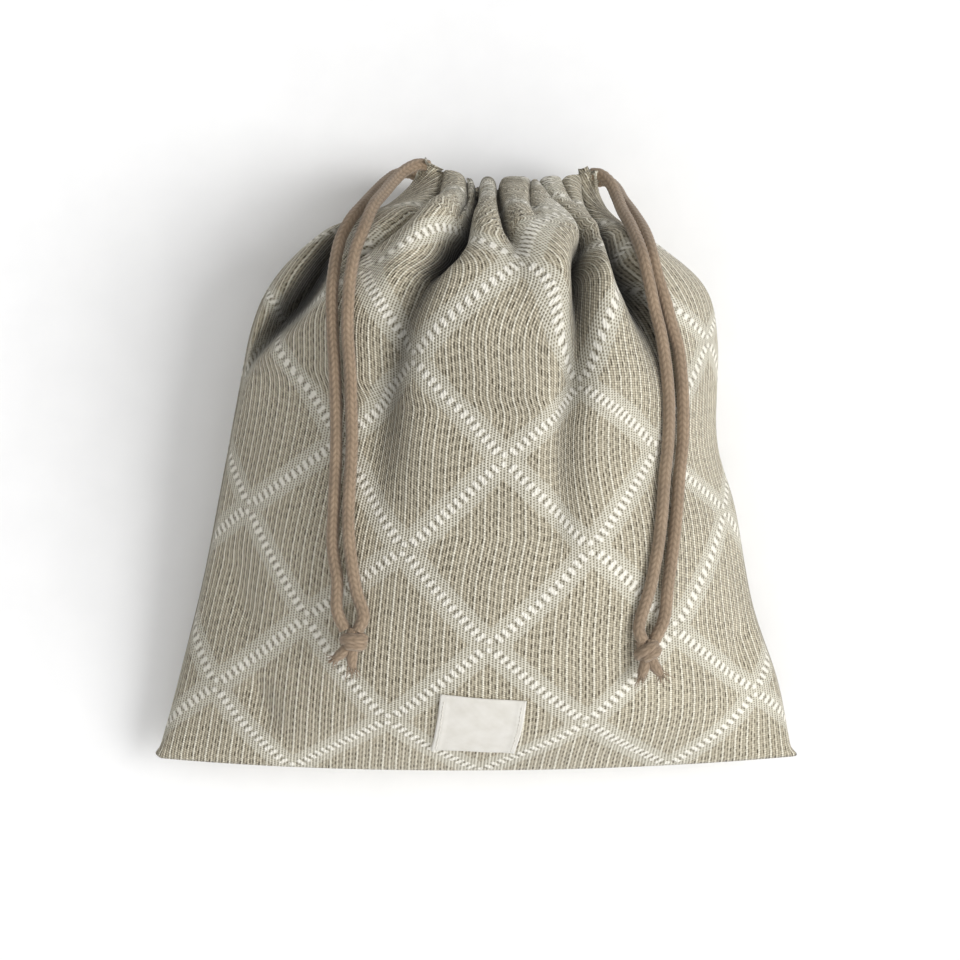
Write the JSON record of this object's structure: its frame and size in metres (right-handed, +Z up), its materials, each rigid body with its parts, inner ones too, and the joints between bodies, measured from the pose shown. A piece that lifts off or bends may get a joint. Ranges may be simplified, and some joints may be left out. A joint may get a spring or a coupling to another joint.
{
  "type": "drawstring lunch bag",
  "caption": "Flat drawstring lunch bag of woven cotton, filled out and lying on its back, with its mouth gathered on a cord that is knotted at both sides.",
  "frame": {"origin": "on the surface that the bag lies on, under the middle of the bag's outline", "axes": "+X across the bag, +Y from the bottom fold to the mouth, +Z up out of the front panel"},
  "size_m": [0.277, 0.2561, 0.11],
  "materials": {
    "woven_cotton": "matt dobby weave of khaki and cream yarns with a cream diamond grid",
    "label_tape": "matt woven label tape",
    "braided_cord": "matt braided cotton cord"
  },
  "bodies": {
    "root": {"bag_body": "woven_cotton", "label": "label_tape", "cord_left_back": "braided_cord", "cord_left_front": "braided_cord", "cord_right_front": "braided_cord", "cord_right_back": "braided_cord", "knot_left": "braided_cord", "knot_right": "braided_cord"}
  },
  "joints": []
}
